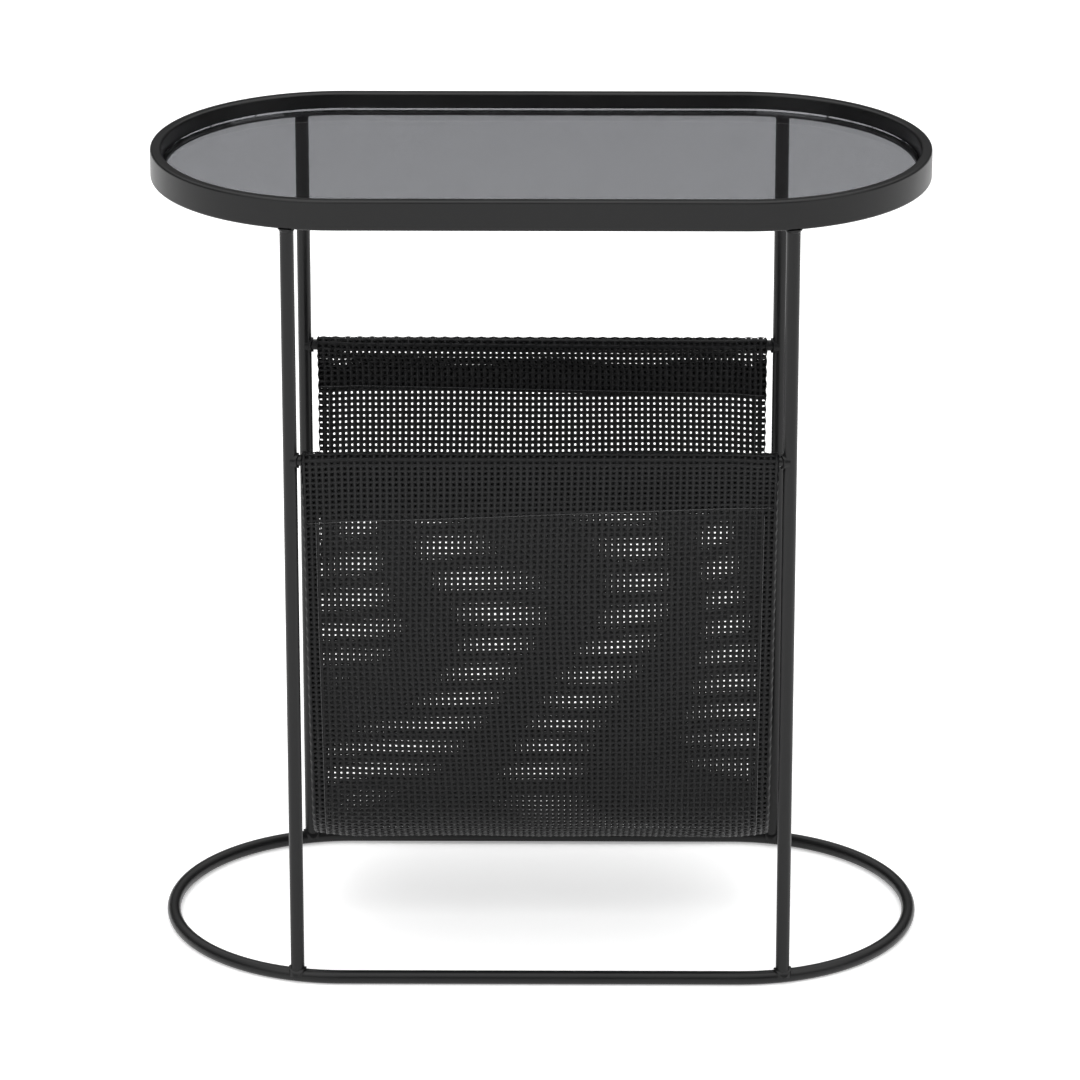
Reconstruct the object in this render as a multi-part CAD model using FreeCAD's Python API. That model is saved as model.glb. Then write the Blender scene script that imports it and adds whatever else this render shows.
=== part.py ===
import FreeCAD, Part
import math
import os

# Oval side table: a welded steel rod frame, a drop-in smoked glass top and a woven magazine sling.
# Millimetres. +Z up, +X along the table, -Y is the front. The origin is on the floor, under the centre.

# Overall size
TABLE_LENGTH = 560.0
TABLE_DEPTH = 270.0
TABLE_HEIGHT = 600.0

# Top hoop: a rectangular tube on edge, bent into an oval with straight sides
HOOP_WIDTH = 8.0
HOOP_HEIGHT = 22.0
HOOP_WALL = 1.5
HOOP_EDGE_RADIUS = 1.8

# Glass and what it rests on
GLASS_THICKNESS = 8.0
GLASS_RECESS = 11.0
GLASS_SIDE_GAP = 0.8
GLASS_EDGE_CHAMFER = 0.4
LEDGE_WIDTH = 3.0
LEDGE_HEIGHT = 2.0
GASKET_WIDTH = 1.6
GASKET_HEIGHT = 1.0

# Rod frame
LEG_RADIUS = 5.0
LEG_X = 177.0
BASE_ROD_RADIUS = 5.0
SLING_ROD_RADIUS = 4.0
SLING_ROD_Z = 405.0
WELD_SIZE = 1.5
WELD_DROP = 2.2
WELD_LAP = 0.4

# Sling. Side -1 is the front, and 1 the rear.
SLING_WIDTH = 336.0
FABRIC_THICKNESS = 1.6
ROD_CLEARANCE = 1.0
POCKET_DROP = {-1: 46.0, 1: 40.0}
POCKET_CLOSE = 22.0
SIDE_HEM_WIDTH = 11.0
SIDE_HEM_EXTRA = 1.0
SLING_BOTTOM_RADIUS = 66.0
SLING_BOTTOM_CENTRE_Y = 22.0
SLING_BOTTOM_CENTRE_Z = 123.5
REAR_PANEL_FLARE = math.radians(2.0)

# Sizes that follow from the ones above
HALF_STRAIGHT = (TABLE_LENGTH - TABLE_DEPTH) / 2
BEND_RADIUS = TABLE_DEPTH / 2 - BASE_ROD_RADIUS
HOOP_BOTTOM_Z = TABLE_HEIGHT - HOOP_HEIGHT
GLASS_BOTTOM_Z = TABLE_HEIGHT - GLASS_RECESS - GLASS_THICKNESS
LEDGE_TOP_Z = GLASS_BOTTOM_Z - GASKET_HEIGHT
LEG_Y = math.sqrt(BEND_RADIUS ** 2 - (LEG_X - HALF_STRAIGHT) ** 2)
CORNERS = {"front_left": (-1, -1), "front_right": (1, -1), "rear_left": (-1, 1), "rear_right": (1, 1)}
ROD_WRAP_OUTER = SLING_ROD_RADIUS + ROD_CLEARANCE + FABRIC_THICKNESS
ROD_WRAP_MIDDLE = ROD_WRAP_OUTER - FABRIC_THICKNESS / 2
FRONT_REACH = LEG_Y + SLING_BOTTOM_CENTRE_Y
FRONT_FALL = SLING_ROD_Z - SLING_BOTTOM_CENTRE_Z
FRONT_LEAN = math.atan2(FRONT_REACH, FRONT_FALL) - math.asin(
    (SLING_BOTTOM_RADIUS - ROD_WRAP_MIDDLE) / math.hypot(FRONT_REACH, FRONT_FALL))
LEAN = {-1: FRONT_LEAN, 1: -REAR_PANEL_FLARE}


def stadium_plate(inset, low, height):
    """A flat plate with the hoop's outline, moved in by inset all round."""
    radius = TABLE_DEPTH / 2 - inset
    start = FreeCAD.Vector(-HALF_STRAIGHT, -radius, low)
    front_end = FreeCAD.Vector(HALF_STRAIGHT, -radius, low)
    right_tip = FreeCAD.Vector(HALF_STRAIGHT + radius, 0, low)
    rear_start = FreeCAD.Vector(HALF_STRAIGHT, radius, low)
    rear_end = FreeCAD.Vector(-HALF_STRAIGHT, radius, low)
    left_tip = FreeCAD.Vector(-HALF_STRAIGHT - radius, 0, low)
    edges = [
        Part.LineSegment(start, front_end).toShape(),
        Part.Arc(front_end, right_tip, rear_start).toShape(),
        Part.LineSegment(rear_start, rear_end).toShape(),
        Part.Arc(rear_end, left_tip, start).toShape(),
    ]
    return Part.Face(Part.Wire(edges)).extrude(FreeCAD.Vector(0, 0, height))


def stadium_ring(outer_inset, width, low, height):
    """A ring of rectangular section that follows the hoop's outline."""
    return stadium_plate(outer_inset, low, height).cut(stadium_plate(outer_inset + width, low, height))


def level_edges(shape):
    """The edges that lie flat, which are the long ones round a plate or a ring."""
    return [edge for edge in shape.Edges if edge.BoundBox.ZLength < 1e-6]


def rod_ring(radius, height):
    """A round rod bent to an oval as long and as deep as the hoop, with its centre at this height."""
    along_x = FreeCAD.Vector(1, 0, 0)
    up = FreeCAD.Vector(0, 0, 1)
    pieces = []
    for side in (-1, 1):
        straight_start = FreeCAD.Vector(-HALF_STRAIGHT, side * BEND_RADIUS, height)
        pieces.append(Part.makeCylinder(radius, 2 * HALF_STRAIGHT, straight_start, along_x))
        bend = Part.makeTorus(BEND_RADIUS, radius, FreeCAD.Vector(0, 0, 0), up, 0, 360, 180)
        bend.rotate(FreeCAD.Vector(0, 0, 0), up, -90 * side)
        bend.translate(FreeCAD.Vector(side * HALF_STRAIGHT, 0, height))
        pieces.append(bend)
    return pieces[0].fuse(pieces[1:]).removeSplitter()


def upright(radius, x, y, low, high):
    """A vertical round bar."""
    return Part.makeCylinder(radius, high - low, FreeCAD.Vector(x, y, low), FreeCAD.Vector(0, 0, 1))


def crossbar(radius, y, z, start, end):
    """A round bar along X."""
    return Part.makeCylinder(radius, end - start, FreeCAD.Vector(start, y, z), FreeCAD.Vector(1, 0, 0))


def make_hoop():
    """The rectangular tube of the top hoop, closed on itself."""
    ring = stadium_ring(0, HOOP_WIDTH, HOOP_BOTTOM_Z, HOOP_HEIGHT)
    ring = ring.makeFillet(HOOP_EDGE_RADIUS, level_edges(ring))
    bore_width = HOOP_WIDTH - 2 * HOOP_WALL
    bore_height = HOOP_HEIGHT - 2 * HOOP_WALL
    return ring.cut(stadium_ring(HOOP_WALL, bore_width, HOOP_BOTTOM_Z + HOOP_WALL, bore_height))


def make_glass():
    """The smoked glass plate with ground edges."""
    plate = stadium_plate(HOOP_WIDTH + GLASS_SIDE_GAP, GLASS_BOTTOM_Z, GLASS_THICKNESS)
    return plate.makeChamfer(GLASS_EDGE_CHAMFER, level_edges(plate))


def make_legs(base_ring):
    """Four upright rods, each cut to sit astride the base ring."""
    legs = {}
    for corner, (x_side, y_side) in CORNERS.items():
        leg = upright(LEG_RADIUS, x_side * LEG_X, y_side * LEG_Y, BASE_ROD_RADIUS, HOOP_BOTTOM_Z)
        legs[corner] = leg.cut(base_ring)
    return legs


def make_sling_rod(y_side, legs):
    """A cross rod between two legs, cut to meet each leg's round side."""
    rod = crossbar(SLING_ROD_RADIUS, y_side * LEG_Y, SLING_ROD_Z, -LEG_X, LEG_X)
    side = "front" if y_side < 0 else "rear"
    return rod.cut([legs[side + "_left"], legs[side + "_right"]])


def make_hoop_weld(x, y):
    """The weld under the hoop at the top of one leg, which laps the hoop's sides a little."""
    low = HOOP_BOTTOM_Z - WELD_DROP
    origin = FreeCAD.Vector(x, y, low)
    up = FreeCAD.Vector(0, 0, 1)
    flare = Part.makeCone(LEG_RADIUS + 0.2, LEG_RADIUS + WELD_SIZE, WELD_DROP, origin, up)
    flare = flare.common(stadium_ring(-WELD_LAP, HOOP_WIDTH + 2 * WELD_LAP, low, WELD_DROP))
    return flare.cut(upright(LEG_RADIUS, x, y, low - 1, HOOP_BOTTOM_Z + 1))


def make_base_weld(x, y, leg, base_ring, thick_ring):
    """The saddle-shaped weld where a leg stands on the base ring."""
    around_leg = upright(LEG_RADIUS + WELD_SIZE, x, y, BASE_ROD_RADIUS, 3 * BASE_ROD_RADIUS)
    return around_leg.common(thick_ring).cut([leg, base_ring])


def make_rod_weld(x_side, y, leg, rod):
    """The weld round one end of a sling rod, against a leg."""
    x = x_side * LEG_X
    around_leg = upright(LEG_RADIUS + WELD_SIZE, x, y, SLING_ROD_Z - 10, SLING_ROD_Z + 10)
    ends = sorted((x, x - x_side * 12))
    around_rod = crossbar(SLING_ROD_RADIUS + WELD_SIZE, y, SLING_ROD_Z, ends[0], ends[1])
    return around_leg.common(around_rod).cut([leg, rod])


def sling_point(y_side, outward, down, x=0.0):
    """A point near a rod: outward is across the hanging panel, down is along it, from the rod's centre."""
    lean = LEAN[y_side]
    y = LEG_Y + outward * math.cos(lean) - down * math.sin(lean)
    z = SLING_ROD_Z - outward * math.sin(lean) - down * math.cos(lean)
    return FreeCAD.Vector(x, y_side * y, z)


def rear_curve():
    """Centre and radius of the rear panel's slow curve, which runs into the round bottom."""
    start = sling_point(1, ROD_WRAP_MIDDLE, POCKET_DROP[1])
    bottom = FreeCAD.Vector(0, SLING_BOTTOM_CENTRE_Y, SLING_BOTTOM_CENTRE_Z)
    outward = FreeCAD.Vector(0, math.cos(LEAN[1]), -math.sin(LEAN[1]))
    across = start - bottom
    apart = outward.dot(across) - SLING_BOTTOM_RADIUS
    radius = (across.Length ** 2 - SLING_BOTTOM_RADIUS ** 2) / (2 * apart)
    return start - outward * radius, radius


def round_point(centre, radius, angle, x):
    """A point on a circle in the YZ plane. Angle 0 points to the rear, and turns upwards."""
    return FreeCAD.Vector(x, centre.y + radius * math.cos(angle), centre.z + radius * math.sin(angle))


def u_side(offset, x):
    """One face of the sling, from the front pocket, round the bottom, to the rear pocket, as three edges."""
    bottom = FreeCAD.Vector(0, SLING_BOTTOM_CENTRE_Y, SLING_BOTTOM_CENTRE_Z)
    rear_centre, rear_radius = rear_curve()
    front_angle = math.pi + FRONT_LEAN
    join = math.atan2(bottom.z - rear_centre.z, bottom.y - rear_centre.y)
    front_top = sling_point(-1, ROD_WRAP_MIDDLE + offset, POCKET_DROP[-1], x)
    rear_top = sling_point(1, ROD_WRAP_MIDDLE + offset, POCKET_DROP[1], x)
    low_radius = SLING_BOTTOM_RADIUS + offset
    high_radius = rear_radius + offset
    front_low = round_point(bottom, low_radius, front_angle, x)
    lowest = round_point(bottom, low_radius, (front_angle + join) / 2 + math.pi, x)
    rear_low = round_point(bottom, low_radius, join, x)
    halfway = round_point(rear_centre, high_radius, (join - LEAN[1]) / 2, x)
    return [
        Part.LineSegment(front_top, front_low).toShape(),
        Part.Arc(front_low, lowest, rear_low).toShape(),
        Part.Arc(rear_low, halfway, rear_top).toShape(),
    ]


def u_strip(inner_offset, outer_offset, x_start, width):
    """A strip of the sling from the front pocket, round the bottom, to the rear pocket."""
    outer = u_side(outer_offset, x_start)
    inner = u_side(inner_offset, x_start)
    ends = []
    for y_side in (-1, 1):
        drop = POCKET_DROP[y_side]
        first = sling_point(y_side, ROD_WRAP_MIDDLE + outer_offset, drop, x_start)
        second = sling_point(y_side, ROD_WRAP_MIDDLE + inner_offset, drop, x_start)
        ends.append(Part.LineSegment(first, second).toShape())
    wire = Part.Wire(Part.__sortEdges__(outer + inner + ends))
    return Part.Face(wire).extrude(FreeCAD.Vector(width, 0, 0))


def make_rod_pocket(y_side):
    """The doubled top of a panel: it goes over the rod and comes down inside as a sewn flap."""
    x_start = -SLING_WIDTH / 2
    flap_face = ROD_WRAP_OUTER - 2 * FABRIC_THICKNESS - 0.1
    reach = math.hypot(flap_face, POCKET_CLOSE)
    turn = math.atan2(POCKET_CLOSE, flap_face) + math.acos(ROD_WRAP_OUTER / reach)
    touch = (ROD_WRAP_OUTER * math.cos(turn), ROD_WRAP_OUTER * math.sin(turn))
    drop = POCKET_DROP[y_side]
    outer_low = sling_point(y_side, ROD_WRAP_OUTER, drop, x_start)
    outer_high = sling_point(y_side, ROD_WRAP_OUTER, 0, x_start)
    crown = sling_point(y_side, 0, -ROD_WRAP_OUTER, x_start)
    touch_point = sling_point(y_side, touch[0], touch[1], x_start)
    closing = sling_point(y_side, flap_face, POCKET_CLOSE, x_start)
    inner_low = sling_point(y_side, flap_face, drop, x_start)
    edges = [
        Part.LineSegment(outer_low, outer_high).toShape(),
        Part.Arc(outer_high, crown, touch_point).toShape(),
        Part.LineSegment(touch_point, closing).toShape(),
        Part.LineSegment(closing, inner_low).toShape(),
        Part.LineSegment(inner_low, outer_low).toShape(),
    ]
    loop = Part.Face(Part.Wire(edges)).extrude(FreeCAD.Vector(SLING_WIDTH, 0, 0))
    bore_radius = SLING_ROD_RADIUS + ROD_CLEARANCE
    return loop.cut(crossbar(bore_radius, y_side * LEG_Y, SLING_ROD_Z, x_start - 1, -x_start + 1))


def make_frame():
    """The welded frame: hoop, ledge, legs, rods, base ring and every weld."""
    base_ring = rod_ring(BASE_ROD_RADIUS, BASE_ROD_RADIUS)
    thick_ring = rod_ring(BASE_ROD_RADIUS + WELD_SIZE, BASE_ROD_RADIUS)
    legs = make_legs(base_ring)
    rods = {"front": make_sling_rod(-1, legs), "rear": make_sling_rod(1, legs)}
    nodes = {"top_hoop": make_hoop(), "base_ring": base_ring}
    nodes["glass_ledge"] = stadium_ring(HOOP_WIDTH, LEDGE_WIDTH, LEDGE_TOP_Z - LEDGE_HEIGHT, LEDGE_HEIGHT)
    for side, rod in rods.items():
        nodes[side + "_sling_rod"] = rod
    for corner, (x_side, y_side) in CORNERS.items():
        x = x_side * LEG_X
        y = y_side * LEG_Y
        leg = legs[corner]
        nodes[corner + "_leg"] = leg
        nodes[corner + "_hoop_weld"] = make_hoop_weld(x, y)
        nodes[corner + "_base_weld"] = make_base_weld(x, y, leg, base_ring, thick_ring)
        nodes[corner + "_rod_weld"] = make_rod_weld(x_side, y, leg, rods[corner.split("_")[0]])
    return nodes


def make_top():
    """The glass and the soft strip that it rests on."""
    gasket_inset = HOOP_WIDTH + LEDGE_WIDTH - GASKET_WIDTH
    gasket = stadium_ring(gasket_inset, GASKET_WIDTH, LEDGE_TOP_Z, GASKET_HEIGHT)
    return {"glass_top": make_glass(), "glass_gasket": gasket}


def make_sling():
    """The woven sling: its panel, its two side hems and its two rod pockets."""
    half = SLING_WIDTH / 2
    thin = FABRIC_THICKNESS / 2
    hem_inner = -thin - SIDE_HEM_EXTRA
    return {
        "sling_panel": u_strip(-thin, thin, SIDE_HEM_WIDTH - half, SLING_WIDTH - 2 * SIDE_HEM_WIDTH),
        "left_side_hem": u_strip(hem_inner, thin, -half, SIDE_HEM_WIDTH),
        "right_side_hem": u_strip(hem_inner, thin, half - SIDE_HEM_WIDTH, SIDE_HEM_WIDTH),
        "front_rod_pocket": make_rod_pocket(-1),
        "rear_rod_pocket": make_rod_pocket(1),
    }


def main():
    """Build every node and write one STEP file for each."""
    os.makedirs("parts", exist_ok=True)
    nodes = {}
    nodes.update(make_frame())
    nodes.update(make_top())
    nodes.update(make_sling())
    for name, shape in nodes.items():
        shape.exportStep("parts/" + name + ".step")
        box = shape.BoundBox
        print(name, len(shape.Solids), "solid", shape.isValid(), round(shape.Volume), "mm3",
              "z", round(box.ZMin, 2), round(box.ZMax, 2))


main()
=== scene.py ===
import math

import bpy
import numpy as np
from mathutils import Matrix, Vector


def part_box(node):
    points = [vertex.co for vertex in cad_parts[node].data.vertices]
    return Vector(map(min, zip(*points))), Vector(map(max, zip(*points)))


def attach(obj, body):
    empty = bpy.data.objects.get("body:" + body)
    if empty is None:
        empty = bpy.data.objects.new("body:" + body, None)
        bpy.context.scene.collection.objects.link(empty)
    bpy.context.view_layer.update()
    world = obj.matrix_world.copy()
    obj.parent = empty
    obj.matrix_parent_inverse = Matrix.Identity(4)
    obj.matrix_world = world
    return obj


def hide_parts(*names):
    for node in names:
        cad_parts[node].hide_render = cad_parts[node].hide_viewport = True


# Looks for the oval side table: powder-coated steel, smoked glass, and a sling woven strand by strand.
# Metres throughout, in the CAD model's frame.

SEED = 2501
MM = 0.001

# Camera, at the photograph's viewing angle
CAMERA_TARGET = Vector((-0.0008, 0.0, 0.2972))
CAMERA_AZIMUTH = math.radians(0.36)
CAMERA_ELEVATION = math.radians(20.8)
CAMERA_DISTANCE = 4.5
CAMERA_LENS = 204.6

# Sides of the table
FRONT = -1
REAR = 1

# How the sling hangs. The sizes are the ones that the CAD sling is built from.
FABRIC_HALF = 0.8 * MM
POCKET_DROP = {FRONT: 46.0 * MM, REAR: 40.0 * MM}
POCKET_CLOSE = 22.0 * MM
BOTTOM_RADIUS = 66.0 * MM
BOTTOM_CENTRE_Y = 22.0 * MM
REAR_FLARE = math.radians(2.0)
FLAP_GAP_MIDDLE = 1.6 * MM
FLAP_GAP_EDGE = 4.2 * MM
FLAP_SPARE = 8.0 * MM

# Cloth: 75 yarns show across the panel, and two more are folded in at each side
WARP_YARNS = 79
WARP_PITCH = 4.53 * MM
WEFT_PITCH = 4.57 * MM
CREST = 0.42 * MM
WARP_HALF_WIDTH = 1.48 * MM
WEFT_HALF_WIDTH = 1.43 * MM
CROSSING_SPREAD = 0.26 * MM
YARN_HALF_HEIGHT = 0.36 * MM
HEM_FOLD_RADIUS = 0.75 * MM
REAR_NARROWING = 0.65 * MM
SAMPLES_PER_PITCH = 2

# How the cloth strays from an even hang. A drift is a number of waves, their least and most turns, and a
# size.
FLAP_SLOPE = {FRONT: 4.5 * MM, REAR: 3.5 * MM}
FLAP_SLOPE_REACH = 70.0 * MM
FRONT_SKEW = -3.0 * MM
SKEW_START = 50.0 * MM
SKEW_RISE = 60.0 * MM
ROW_DRIFTS = [(3, (0.3, 1.0), 4.5 * MM), (4, (0.5, 2.0), 2.6 * MM), (4, (1.0, 3.0), 1.4 * MM)]
COLUMN_DRIFTS = [(4, (0.5, 2.6), 3.0 * MM)] * 3
SWELLS = [(5, (0.6, 2.6), 1.1 * MM)] * 4
EDGE_CURL = 3.0 * MM
EDGE_CURL_REACH = 35.0 * MM

# Each flap's columns lie half a pitch aside, which closes its holes, up to this far from its free edge
FRONT_CLOSED = 62.0 * MM
REAR_CLOSED = 33.0 * MM
REAR_CLOSED_WAVE = 5.0 * MM
CLOSED_FADE = 12.0 * MM

# Sewing
SEAM_FROM_EDGE = 3.0 * MM
SEAM_SHORTENED = 2.0 * MM
HEM_SEAM_INSET = 8.4 * MM
STITCH_LENGTH = 4.2 * MM
POINTS_PER_STITCH = 7
THREAD_HALF_WIDTH = 0.28 * MM
THREAD_HALF_HEIGHT = 0.2 * MM

GASKET_HALF_WIDTH = 0.8 * MM

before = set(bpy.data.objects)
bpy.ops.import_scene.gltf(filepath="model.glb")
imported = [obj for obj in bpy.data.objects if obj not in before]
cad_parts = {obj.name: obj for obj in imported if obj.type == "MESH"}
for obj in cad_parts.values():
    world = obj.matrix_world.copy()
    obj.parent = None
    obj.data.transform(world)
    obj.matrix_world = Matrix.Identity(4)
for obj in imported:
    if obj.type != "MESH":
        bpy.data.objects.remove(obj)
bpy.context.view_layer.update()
rng = np.random.default_rng(SEED)


# ---------------------------------------------------------------- materials

def new_material(name):
    """A new node material, with its tree and its Principled shader."""
    material = bpy.data.materials.new(name)
    material.use_nodes = True
    tree = material.node_tree
    shader = tree.nodes["Principled BSDF"]
    return material, tree, shader


def noise(tree, scale, detail=2.0, roughness=0.5):
    """A noise texture in object coordinates, which are metres."""
    coordinates = tree.nodes.new("ShaderNodeTexCoord")
    texture = tree.nodes.new("ShaderNodeTexNoise")
    texture.inputs["Scale"].default_value = scale
    texture.inputs["Detail"].default_value = detail
    texture.inputs["Roughness"].default_value = roughness
    tree.links.new(coordinates.outputs["Object"], texture.inputs["Vector"])
    return texture.outputs["Fac"]


def remap(tree, value, low, high):
    """Stretch a 0 to 1 value to the range low to high."""
    node = tree.nodes.new("ShaderNodeMapRange")
    node.inputs["To Min"].default_value = low
    node.inputs["To Max"].default_value = high
    tree.links.new(value, node.inputs["Value"])
    return node.outputs["Result"]


def blend_colours(tree, factor, first, second):
    """Mix two colours by a 0 to 1 value."""
    node = tree.nodes.new("ShaderNodeMix")
    node.data_type = "RGBA"
    node.inputs["A"].default_value = (*first, 1.0)
    node.inputs["B"].default_value = (*second, 1.0)
    tree.links.new(factor, node.inputs["Factor"])
    return node.outputs["Result"]


def bump(tree, height, distance, strength=1.0):
    """A bump of the given height in metres."""
    node = tree.nodes.new("ShaderNodeBump")
    node.inputs["Distance"].default_value = distance
    node.inputs["Strength"].default_value = strength
    tree.links.new(height, node.inputs["Height"])
    return node.outputs["Normal"]


def powder_coat():
    """Satin black powder coat: a fine orange-peel surface, a little uneven in gloss."""
    material, tree, shader = new_material("powder_coat")
    patch = noise(tree, 28.0, 3.0)
    peel = noise(tree, 900.0, 2.0)
    tree.links.new(blend_colours(tree, patch, (0.004, 0.004, 0.0042), (0.008, 0.008, 0.0083)),
                   shader.inputs["Base Color"])
    tree.links.new(remap(tree, patch, 0.27, 0.42), shader.inputs["Roughness"])
    shader.inputs["Specular IOR Level"].default_value = 0.28
    tree.links.new(bump(tree, peel, 0.00006, 0.6), shader.inputs["Normal"])
    return material


def smoked_glass():
    """Grey tinted glass. Lamps shine through it, so that the floor under it is not left black."""
    material, tree, shader = new_material("smoked_glass")
    smear = noise(tree, 9.0, 3.0)
    tree.links.new(remap(tree, smear, 0.0, 0.012), shader.inputs["Roughness"])
    tree.links.new(blend_colours(tree, smear, (0.240, 0.2435, 0.2575), (0.248, 0.2515, 0.2655)),
                   shader.inputs["Base Color"])
    shader.inputs["Transmission Weight"].default_value = 1.0
    shader.inputs["IOR"].default_value = 1.52
    clear = tree.nodes.new("ShaderNodeBsdfTransparent")
    clear.inputs["Color"].default_value = (0.45, 0.455, 0.47, 1.0)
    path = tree.nodes.new("ShaderNodeLightPath")
    mix = tree.nodes.new("ShaderNodeMixShader")
    output = tree.nodes["Material Output"]
    tree.links.new(path.outputs["Is Shadow Ray"], mix.inputs["Fac"])
    tree.links.new(shader.outputs["BSDF"], mix.inputs[1])
    tree.links.new(clear.outputs["BSDF"], mix.inputs[2])
    tree.links.new(mix.outputs["Shader"], output.inputs["Surface"])
    return material


def foam_rubber():
    """Dull black foam tape."""
    material, tree, shader = new_material("foam_strip")
    cells = noise(tree, 1400.0, 4.0, 0.7)
    tree.links.new(blend_colours(tree, cells, (0.012, 0.012, 0.012), (0.03, 0.03, 0.03)),
                   shader.inputs["Base Color"])
    tree.links.new(remap(tree, cells, 0.75, 0.95), shader.inputs["Roughness"])
    tree.links.new(bump(tree, cells, 0.0002), shader.inputs["Normal"])
    return material


def coated_yarn():
    """Black plastic-coated yarn: a soft gloss, uneven along its length, with fine drawn lines."""
    material, tree, shader = new_material("coated_yarn")
    patch = noise(tree, 45.0, 3.0)
    grain = noise(tree, 2600.0, 3.0, 0.6)
    tree.links.new(blend_colours(tree, patch, (0.0035, 0.0035, 0.0038), (0.0085, 0.0085, 0.0092)),
                   shader.inputs["Base Color"])
    tree.links.new(remap(tree, grain, 0.36, 0.58), shader.inputs["Roughness"])
    shader.inputs["Specular IOR Level"].default_value = 0.21
    tree.links.new(bump(tree, grain, 0.00008, 0.8), shader.inputs["Normal"])
    return material


def bonded_thread():
    """Black sewing thread, a little shinier than the cloth, with a twist."""
    material, tree, shader = new_material("bonded_thread")
    twist = noise(tree, 3500.0, 2.0)
    tree.links.new(blend_colours(tree, twist, (0.03, 0.03, 0.031), (0.07, 0.07, 0.072)),
                   shader.inputs["Base Color"])
    tree.links.new(remap(tree, twist, 0.3, 0.5), shader.inputs["Roughness"])
    tree.links.new(bump(tree, twist, 0.0001), shader.inputs["Normal"])
    return material


def floor_paint():
    """A plain, almost white floor."""
    material, tree, shader = new_material("floor_paint")
    shader.inputs["Base Color"].default_value = (0.93, 0.93, 0.93, 1.0)
    shader.inputs["Roughness"].default_value = 0.9
    shader.inputs["Specular IOR Level"].default_value = 0.1
    shader.inputs["Emission Color"].default_value = (1.0, 1.0, 1.0, 1.0)
    shader.inputs["Emission Strength"].default_value = 0.35
    return material


def dress(node, material):
    """Give a CAD node its material."""
    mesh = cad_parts[node].data
    mesh.materials.clear()
    mesh.materials.append(material)


# ---------------------------------------------------------------- camera, floor and light

def make_camera():
    """The camera on its line of sight to the table."""
    data = bpy.data.cameras.new("camera")
    data.lens = CAMERA_LENS
    data.sensor_width = 36.0
    data.clip_end = 100.0
    camera = bpy.data.objects.new("camera", data)
    bpy.context.scene.collection.objects.link(camera)
    back = Vector((
        math.sin(CAMERA_AZIMUTH) * math.cos(CAMERA_ELEVATION),
        -math.cos(CAMERA_AZIMUTH) * math.cos(CAMERA_ELEVATION),
        math.sin(CAMERA_ELEVATION),
    ))
    camera.location = CAMERA_TARGET + back * CAMERA_DISTANCE
    camera.rotation_euler = (-back).to_track_quat("-Z", "Y").to_euler()
    bpy.context.scene.camera = camera


def make_floor():
    """A wide floor, which isn't part of the table."""
    half = 30.0
    mesh = bpy.data.meshes.new("floor")
    corners = [(-half, -half, 0), (half, -half, 0), (half, half, 0), (-half, half, 0)]
    mesh.from_pydata(corners, [], [(0, 1, 2, 3)])
    mesh.materials.append(floor_paint())
    floor = bpy.data.objects.new("floor", mesh)
    bpy.context.scene.collection.objects.link(floor)


def area_light(name, place, aim, size, power):
    """A square soft box."""
    data = bpy.data.lights.new(name, "AREA")
    data.size = size
    data.energy = power
    light = bpy.data.objects.new(name, data)
    light.location = place
    light.rotation_euler = (Vector(aim) - Vector(place)).to_track_quat("-Z", "Y").to_euler()
    bpy.context.scene.collection.objects.link(light)


def make_world():
    """A studio: bright overhead, dim towards the horizon, and white where the camera sees it directly."""
    world = bpy.data.worlds.new("studio")
    bpy.context.scene.world = world
    world.use_nodes = True
    tree = world.node_tree
    background = tree.nodes["Background"]
    coordinates = tree.nodes.new("ShaderNodeTexCoord")
    split = tree.nodes.new("ShaderNodeSeparateXYZ")
    ramp = tree.nodes.new("ShaderNodeValToRGB")
    ramp.color_ramp.elements[0].position = 0.38
    ramp.color_ramp.elements[0].color = (0.04, 0.04, 0.04, 1.0)
    ramp.color_ramp.elements[1].position = 0.65
    ramp.color_ramp.elements[1].color = (1.0, 1.0, 1.0, 1.0)
    tree.links.new(coordinates.outputs["Generated"], split.inputs["Vector"])
    tree.links.new(split.outputs["Z"], ramp.inputs["Fac"])
    path = tree.nodes.new("ShaderNodeLightPath")
    mix = tree.nodes.new("ShaderNodeMix")
    mix.data_type = "RGBA"
    mix.inputs["B"].default_value = (1.0, 1.0, 1.0, 1.0)
    tree.links.new(path.outputs["Is Camera Ray"], mix.inputs["Factor"])
    tree.links.new(ramp.outputs["Color"], mix.inputs["A"])
    tree.links.new(mix.outputs["Result"], background.inputs["Color"])
    background.inputs["Strength"].default_value = 1.25


def make_lights():
    """Wide soft boxes: one above, one at the front left and one at the right."""
    area_light("top_box", (0.0, -0.2, 3.0), (0, 0, 0.3), 3.0, 30.0)
    area_light("front_box", (-2.2, -3.4, 2.6), (0, 0, 0.3), 4.0, 55.0)
    area_light("right_box", (3.2, -2.0, 2.4), (0, 0, 0.3), 3.0, 30.0)


# ---------------------------------------------------------------- the sling's shape

def measure_sling():
    """The sling's sizes, read from the CAD solids that it replaces."""
    rod_low, rod_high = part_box("front_sling_rod")
    pocket_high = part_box("front_rod_pocket")[1]
    panel_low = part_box("sling_panel")[0]
    rod_z = (rod_low.z + rod_high.z) / 2
    return {
        "half_width": pocket_high.x,
        "rod_y": abs(rod_low.y + rod_high.y) / 2,
        "rod_z": rod_z,
        "wrap": pocket_high.z - rod_z - FABRIC_HALF,
        "bottom_z": panel_low.z + FABRIC_HALF + BOTTOM_RADIUS,
    }


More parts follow.
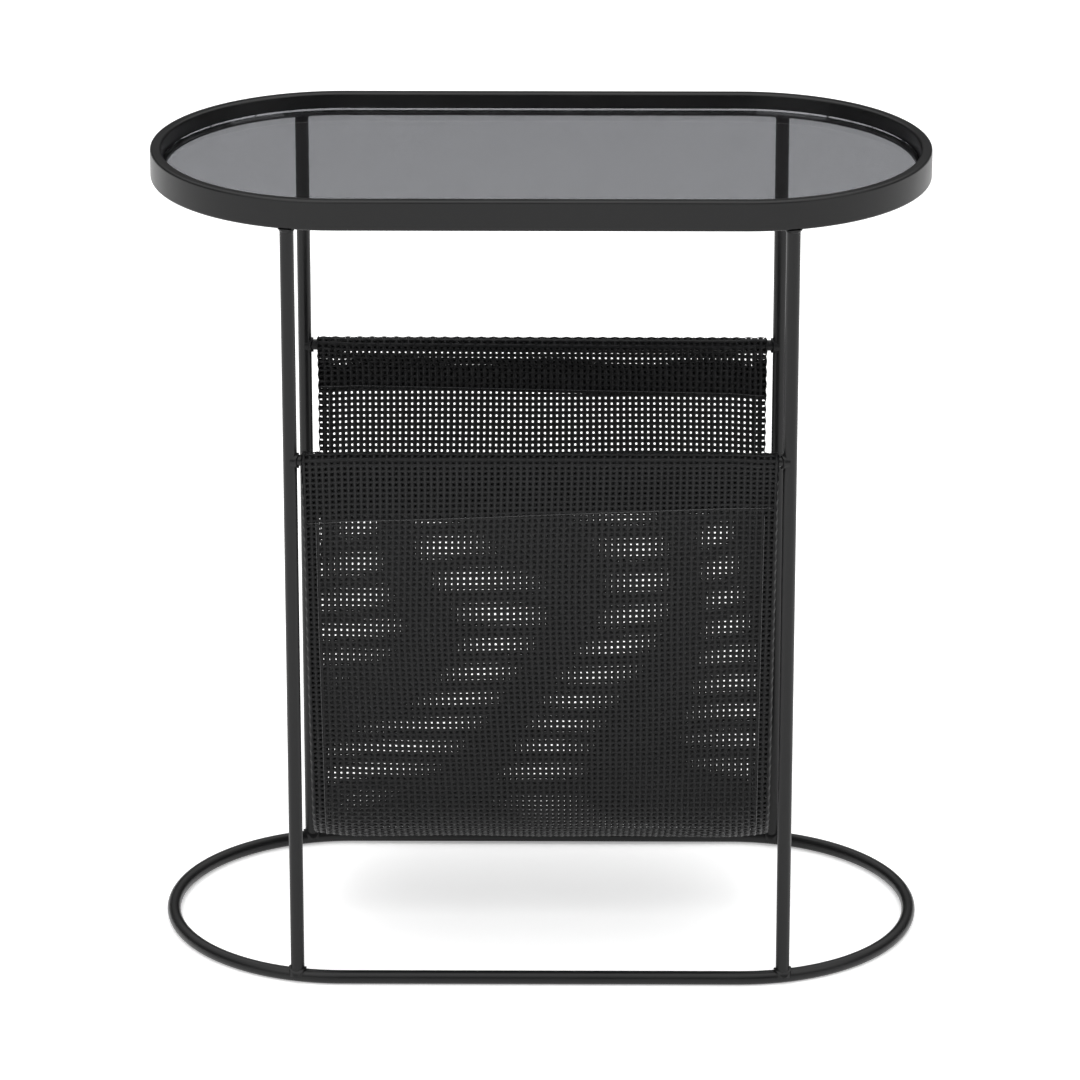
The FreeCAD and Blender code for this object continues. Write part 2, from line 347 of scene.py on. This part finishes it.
def over_the_rod(size, side, lean, flap_gap):
    """The cloth's middle line from below the flap's free edge, up over one rod, and down the outer face."""
    wrap = size["wrap"]

    def local(outward, down):
        y = size["rod_y"] + outward * math.cos(lean) - down * math.sin(lean)
        z = size["rod_z"] - outward * math.sin(lean) - down * math.cos(lean)
        return (side * y, z)

    flap = wrap - flap_gap
    reach = math.hypot(flap, POCKET_CLOSE)
    turn = math.atan2(POCKET_CLOSE, flap) + math.acos(wrap / reach)
    points = [local(flap, POCKET_DROP[side] + FLAP_SPARE), local(flap, POCKET_CLOSE)]
    for angle in np.linspace(turn, 2 * math.pi, 15):
        points.append(local(wrap * math.cos(angle), wrap * math.sin(angle)))
    points.append(local(wrap, POCKET_DROP[side]))
    return np.array(points)


def arc(centre, radius, start, end, count):
    """Points on a circle in the YZ plane."""
    angles = np.linspace(start, end, count)
    return np.stack([centre[0] + radius * np.cos(angles), centre[1] + radius * np.sin(angles)], axis=1)


def hanging_profile(size, flap_gap):
    """The cloth's middle line in the YZ plane, with some spare beyond the free edge of each flap."""
    bottom = np.array([BOTTOM_CENTRE_Y, size["bottom_z"]])
    reach = size["rod_y"] + bottom[0]
    fall = size["rod_z"] - bottom[1]
    lean = math.atan2(reach, fall) - math.asin((BOTTOM_RADIUS - size["wrap"]) / math.hypot(reach, fall))
    front = over_the_rod(size, FRONT, lean, flap_gap)
    rear = over_the_rod(size, REAR, -REAR_FLARE, flap_gap)
    outward = np.array([math.cos(REAR_FLARE), math.sin(REAR_FLARE)])
    across = rear[-1] - bottom
    radius = (across @ across - BOTTOM_RADIUS ** 2) / (2 * (outward @ across - BOTTOM_RADIUS))
    centre = rear[-1] - outward * radius
    join = math.atan2(bottom[1] - centre[1], bottom[0] - centre[0])
    round_bottom = arc(bottom, BOTTOM_RADIUS, math.pi + lean, 2 * math.pi + join, 40)
    slow_curve = arc(centre, radius, join, REAR_FLARE, 30)
    return np.concatenate([front, round_bottom, slow_curve[1:-1], rear[::-1]])


def measure_pocket(size, side):
    """How much cloth a rod pocket takes, from the flap's free edge to the end of its outer face."""
    line = over_the_rod(size, side, 0.0, FLAP_GAP_MIDDLE)
    return np.linalg.norm(np.diff(line, axis=0), axis=1).sum() - FLAP_SPARE


def resample(line, count):
    """Points at equal steps along a line."""
    steps = np.linalg.norm(np.diff(line, axis=0), axis=1)
    along = np.concatenate([[0], np.cumsum(steps)])
    at = np.linspace(0, along[-1], count)
    return np.stack([np.interp(at, along, line[:, k]) for k in range(2)], axis=1), along[-1]


def smooth(line, times):
    """Ease the corners of a line and keep its ends."""
    line = line.copy()
    for _ in range(times):
        line[1:-1] = 0.25 * line[:-2] + 0.5 * line[1:-1] + 0.25 * line[2:]
    return line


def ease(share):
    """A smooth step from 0 to 1."""
    share = np.clip(share, 0, 1)
    return share * share * (3 - 2 * share)


def wander(count, waves, size):
    """A slow random curve over 0 to 1, as a function."""
    phases = rng.uniform(0, 2 * math.pi, count)
    turns = rng.uniform(waves[0], waves[1], count)
    weights = rng.uniform(0.5, 1.0, count)
    weights = size * weights / weights.sum()

    def value(t):
        return sum(w * np.sin(2 * math.pi * k * t + p) for w, k, p in zip(weights, turns, phases))
    return value


class Cloth:
    """Where a point of the flat cloth lies once it is sewn and hung on its two rods.

    A flat position is across, from the cloth's middle, and along, from the front flap's free edge. Its
    share is how far along it is, from 0 to 1, and its spread is how far out it is, from -1 to 1.
    """

    def __init__(self, size, profile_points=1801):
        self.half_width = size["half_width"]
        close, whole = resample(hanging_profile(size, FLAP_GAP_MIDDLE), profile_points)
        wide, _ = resample(hanging_profile(size, FLAP_GAP_EDGE), profile_points)
        self.close = smooth(close, 12)
        self.wide = smooth(wide, 12)
        self.grid = np.linspace(-FLAP_SPARE, whole - FLAP_SPARE, profile_points)
        self.length = whole - 2 * FLAP_SPARE
        self.pocket_length = {side: measure_pocket(size, side) for side in (FRONT, REAR)}
        self.weft_count = int(round(self.length / WEFT_PITCH))
        self.weft_pitch = self.length / self.weft_count
        self.flat_width = WARP_PITCH * WARP_YARNS
        self.row_drifts = [wander(*drift) for drift in ROW_DRIFTS]
        self.column_drifts = [wander(*drift) for drift in COLUMN_DRIFTS]
        self.swells = [wander(*swell) for swell in SWELLS]

    def fold(self, across, share):
        """Side hems: how far out the cloth is, and how deep its folded layer lies."""
        turn_at = self.half_width - HEM_FOLD_RADIUS - REAR_NARROWING * ease((share - 0.45) / 0.2)
        beyond = np.abs(across) - turn_at
        angle = np.clip(beyond / HEM_FOLD_RADIUS, 0, math.pi)
        straight = np.clip(beyond - math.pi * HEM_FOLD_RADIUS, 0, None)
        x = np.where(beyond > 0, turn_at + HEM_FOLD_RADIUS * np.sin(angle) - straight, np.abs(across))
        depth = HEM_FOLD_RADIUS * (1 - np.cos(angle))
        return np.sign(across) * x, depth, angle

    def middle(self, along, edge):
        """Where the cloth's middle is in the YZ plane, and which way it faces."""
        line = [np.interp(along, self.grid, self.close[:, k]) * (1 - edge)
                + np.interp(along, self.grid, self.wide[:, k]) * edge for k in range(2)]
        step = 0.4 * MM
        ty, tz = [np.interp(along + step, self.grid, self.close[:, k])
                  - np.interp(along - step, self.grid, self.close[:, k]) for k in range(2)]
        size = np.maximum(np.hypot(ty, tz), 1e-9)
        return line[0], line[1], tz / size, -ty / size

    def row_shift(self, along, from_end, spread, hanging):
        """How far rows stray along the cloth: the flaps' slope, the front's skew and slow drifts."""
        share = along / self.length
        flap_slope = np.where(share < 0.5, FLAP_SLOPE[FRONT], FLAP_SLOPE[REAR])
        slope = flap_slope * ease(1 - from_end / FLAP_SLOPE_REACH)
        on_front = ease((along - SKEW_START) / SKEW_RISE) * (1 - ease((share - 0.15) / 0.35))
        drift = sum(
            row(spread * 0.5 + 0.3 * i) * np.sin((7.0 + 3.0 * i) * share + 2.0 * i)
            for i, row in enumerate(self.row_drifts))
        return (slope + FRONT_SKEW * on_front) * spread + hanging * drift

    def column_shift(self, share, from_end, spread, hanging):
        """How far columns stray sideways: by slow drifts, and in the flaps by half a pitch."""
        drift = sum(
            column(share + 0.3 * i) * np.cos((1.0 + 1.5 * i) * spread + i)
            for i, column in enumerate(self.column_drifts))
        rear_closed = REAR_CLOSED + REAR_CLOSED_WAVE * np.sin(9.0 * spread + 1.3)
        closed = ease((np.where(share < 0.5, FRONT_CLOSED, rear_closed) - from_end) / CLOSED_FADE)
        return hanging * (1 - spread ** 4) * drift + closed * (1 - spread ** 12) * WARP_PITCH / 2

    def stand_off(self, share, x, spread, hanging):
        """How far the cloth lies outside its even profile: a swell, less a curl at the bottom's edges."""
        swell = sum(
            wave(spread * 0.5 + 0.31 * i) * np.sin((2.0 + 1.7 * i) * math.pi * share + i)
            for i, wave in enumerate(self.swells))
        at_bottom = np.exp(-((share - 0.48) / 0.12) ** 2)
        at_edge = np.clip((np.abs(x) - self.half_width + EDGE_CURL_REACH) / EDGE_CURL_REACH, 0, 1) ** 2
        return hanging * swell - EDGE_CURL * at_edge * at_bottom

    def place(self, across, along, lift):
        """Points and outward normals for flat positions, raised off the cloth's middle by lift."""
        across, along, lift = np.broadcast_arrays(across, along, lift)
        share = along / self.length
        from_end = np.minimum(along, self.length - along)
        x, depth, angle = self.fold(across, share)
        spread = x / self.half_width
        hanging = np.clip((0.84 - np.abs(share - 0.5) * 2) / 0.3, 0, 1)
        rows = along + self.row_shift(along, from_end, spread, hanging)
        near_edge = ease((np.abs(x) - self.half_width + 30 * MM) / (20 * MM))
        y, z, ny, nz = self.middle(rows, near_edge)
        off = lift * np.cos(angle) - depth + self.stand_off(share, x, spread, hanging)
        sideways = np.sin(angle) * np.sign(across)
        px = x + lift * sideways + self.column_shift(share, from_end, spread, hanging)
        points = np.stack([px, y + ny * off, z + nz * off], axis=-1)
        normals = np.stack([sideways, ny * np.cos(angle), nz * np.cos(angle)], axis=-1)
        return points, normals


# ---------------------------------------------------------------- mesh from strands

def strands_mesh(name, lines, material):
    """One mesh of lens-shaped strands. Each line is (points, normals, half widths, half height)."""
    all_points, all_faces, start = [], [], 0
    for points, normals, half_width, half_height in lines:
        count = len(points)
        tangents = np.gradient(points, axis=0)
        sides = np.cross(tangents, normals)
        sides /= np.maximum(np.linalg.norm(sides, axis=1, keepdims=True), 1e-12)
        section = np.stack([
            points + sides * half_width,
            points + normals * half_height,
            points - sides * half_width,
            points - normals * half_height,
        ], axis=1)
        all_points.append(section.reshape(-1, 3))
        rings = start + 4 * np.arange(count - 1)[:, None]
        corner = np.arange(4)[None, :]
        here = rings + corner
        beside = rings + (corner + 1) % 4
        quads = np.stack([here, beside, beside + 4, here + 4], axis=-1)
        all_faces.append(quads.reshape(-1, 4))
        last = start + 4 * (count - 1)
        end_caps = [[start + 3, start + 2, start + 1, start], [last, last + 1, last + 2, last + 3]]
        all_faces.append(np.array(end_caps))
        start += 4 * count
    points = np.concatenate(all_points)
    faces = np.concatenate(all_faces).astype(np.int32)
    mesh = bpy.data.meshes.new(name)
    mesh.vertices.add(len(points))
    mesh.vertices.foreach_set("co", points.astype(np.float32).ravel())
    mesh.loops.add(faces.size)
    mesh.loops.foreach_set("vertex_index", faces.ravel())
    mesh.polygons.add(len(faces))
    mesh.polygons.foreach_set("loop_start", np.arange(0, faces.size, 4, dtype=np.int32))
    mesh.update(calc_edges=True)
    mesh.polygons.foreach_set("use_smooth", np.ones(len(faces), bool))
    mesh.materials.append(material)
    mesh.update()
    piece = bpy.data.objects.new(name, mesh)
    bpy.context.scene.collection.objects.link(piece)
    return piece


def yarn_width(half_width, wave):
    """Yarns are pressed wider where they cross, so that the holes between them are rounded."""
    return (half_width + CROSSING_SPREAD * np.abs(wave / CREST))[:, None]


def warp_lines(cloth):
    """The yarns that run over the front rod, round the bottom and over the rear rod."""
    along = np.linspace(0.25 * MM, cloth.length - 0.25 * MM, SAMPLES_PER_PITCH * cloth.weft_count + 1)
    wave = CREST * np.cos(math.pi * (along / cloth.weft_pitch - 0.5))
    for i in range(WARP_YARNS):
        across = (i + 0.5 - WARP_YARNS / 2) * WARP_PITCH
        sign = 1 if i % 2 else -1
        points, normals = cloth.place(across, along, sign * wave)
        yield points, normals, yarn_width(WARP_HALF_WIDTH, wave), YARN_HALF_HEIGHT


def weft_lines(cloth):
    """The yarns that run across, and turn back inside the folded side hems."""
    half = cloth.flat_width / 2
    across = np.linspace(-half, half, SAMPLES_PER_PITCH * WARP_YARNS + 1)
    turn = cloth.half_width - HEM_FOLD_RADIUS
    bend = turn + np.linspace(-REAR_NARROWING, math.pi * HEM_FOLD_RADIUS, 8)
    across = np.unique(np.round(np.concatenate([across, bend, -bend]), 7))
    wave = CREST * np.cos(math.pi * ((across + half) / WARP_PITCH - 0.5))
    for j in range(cloth.weft_count):
        along = (j + 0.5) * cloth.weft_pitch
        sign = 1 if j % 2 else -1
        points, normals = cloth.place(across, along, sign * wave)
        yield points, normals, yarn_width(WEFT_HALF_WIDTH, wave), YARN_HALF_HEIGHT


def stitches(cloth, across, along, base, face):
    """A line of stitches that lies on one face of the cloth and dips into it between stitches."""
    across, along = np.broadcast_arrays(across, along)
    travelled = np.concatenate([[0], np.cumsum(np.hypot(np.diff(across), np.diff(along)))])
    shown = np.clip(2.6 * np.sin(math.pi * np.mod(travelled / STITCH_LENGTH, 1)), 0, 1)
    points, normals = cloth.place(across, along, base + face * shown)
    return points, normals, THREAD_HALF_WIDTH, THREAD_HALF_HEIGHT


def seam_height():
    """How far a stitch lies off the cloth's middle."""
    return CREST + YARN_HALF_HEIGHT + THREAD_HALF_HEIGHT


def pocket_seams(cloth):
    """Seams across the cloth that close the two rod pockets, on both faces. They slope as the flaps do."""
    reach = cloth.half_width - SEAM_SHORTENED
    across = np.arange(-reach, reach, STITCH_LENGTH / POINTS_PER_STITCH)
    for side in (FRONT, REAR):
        slope = side * FLAP_SLOPE[side] * across / reach
        on_flap = np.full_like(across, SEAM_FROM_EDGE)
        on_panel = cloth.pocket_length[side] - SEAM_FROM_EDGE + slope
        for from_end in (on_flap, on_panel):
            along = from_end if side == FRONT else cloth.length - from_end
            yield stitches(cloth, across, along, 0.0, seam_height())


def hem_seams(cloth, side):
    """Seams down one side hem, on both faces."""
    start = cloth.pocket_length[FRONT]
    end = cloth.length - cloth.pocket_length[REAR]
    along = np.arange(start, end, STITCH_LENGTH / POINTS_PER_STITCH)
    across = side * (cloth.half_width - HEM_SEAM_INSET)
    yield stitches(cloth, across, along, 0.0, seam_height())
    yield stitches(cloth, across, along, -2 * HEM_FOLD_RADIUS, -seam_height())


def make_sling():
    """The woven sling and its seams."""
    cloth = Cloth(measure_sling())
    weave = strands_mesh("sling_weave", list(warp_lines(cloth)) + list(weft_lines(cloth)), coated_yarn())
    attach(weave, "frame")
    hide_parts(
        "sling_panel", "left_side_hem", "right_side_hem", "front_rod_pocket", "rear_rod_pocket")
    thread = bonded_thread()
    seams = [
        strands_mesh("pocket_stitching", list(pocket_seams(cloth)), thread),
        strands_mesh("left_hem_stitching", list(hem_seams(cloth, -1)), thread),
        strands_mesh("right_hem_stitching", list(hem_seams(cloth, 1)), thread),
    ]
    for seam in seams:
        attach(seam, "frame")
    print("cloth", round(cloth.flat_width, 4), "by", round(cloth.length, 4), "wefts", cloth.weft_count)


def make_gasket():
    """The strip of foam tape between the ledge and the glass, with softly rounded sides."""
    low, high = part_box("glass_gasket")
    half_height = (high.z - low.z) / 2
    radius = high.y - GASKET_HALF_WIDTH
    straight = high.x - high.y
    right = arc((straight, 0.0), radius, -math.pi / 2, math.pi / 2, 60)
    left = arc((-straight, 0.0), radius, math.pi / 2, 3 * math.pi / 2, 60)
    outline = np.concatenate([right, left, right[:1]])
    points = np.column_stack([outline, np.full(len(outline), low.z + half_height)])
    normals = np.tile([0.0, 0.0, 1.0], (len(points), 1))
    strip = (points, normals, GASKET_HALF_WIDTH, half_height)
    gasket = strands_mesh("glass_gasket_tape", [strip], foam_rubber())
    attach(gasket, "frame")
    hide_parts("glass_gasket")


# ---------------------------------------------------------------- put it together

bpy.context.scene.view_settings.view_transform = "Standard"
make_camera()
make_floor()
make_world()
make_lights()

coat = powder_coat()
for node_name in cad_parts:
    if any(word in node_name for word in ("hoop", "ledge", "leg", "ring", "weld", "sling_rod")):
        dress(node_name, coat)
dress("glass_top", smoked_glass())

make_gasket()
make_sling()
